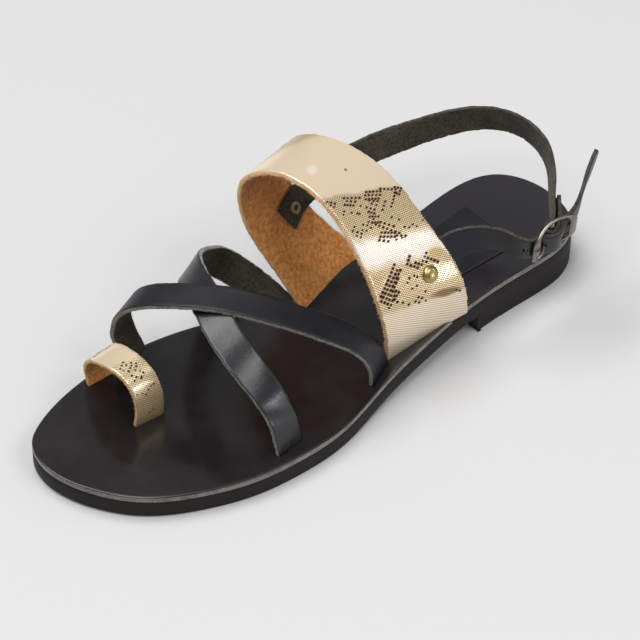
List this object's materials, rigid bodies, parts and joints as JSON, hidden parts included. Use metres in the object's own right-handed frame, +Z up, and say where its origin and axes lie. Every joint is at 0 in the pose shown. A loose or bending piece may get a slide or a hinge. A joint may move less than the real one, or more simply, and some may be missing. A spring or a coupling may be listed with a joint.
{
  "type": "leather sandal",
  "caption": "Flat open leather sandal with a toe loop, crossed forefoot straps, a wide metallic instep band and a buckled strap round the heel.",
  "frame": {"origin": "on the floor, under the middle of the sandal's bounding box", "axes": "+X to the toe, +Y to the outer side of the foot, +Z up from the floor"},
  "size_m": [0.25, 0.098, 0.0902],
  "materials": {
    "black_rubber": "matte",
    "black_leather": "smooth, soft sheen",
    "gold_leather": "metallic foil with a printed reptile pattern",
    "dark_metal": "dark plated",
    "brass": "polished"
  },
  "bodies": {
    "root": {"outsole": "black_rubber", "heel": "black_rubber", "insole": "black_leather", "heel_label": "black_leather", "toe_loop": "gold_leather", "cross_straps": "black_leather", "instep_band": "gold_leather", "heel_strap": "black_leather", "side_strap": "black_leather", "buckle_frame": "dark_metal", "buckle_prong": "dark_metal", "rivet_inner": "brass", "rivet_outer": "brass"}
  },
  "joints": []
}
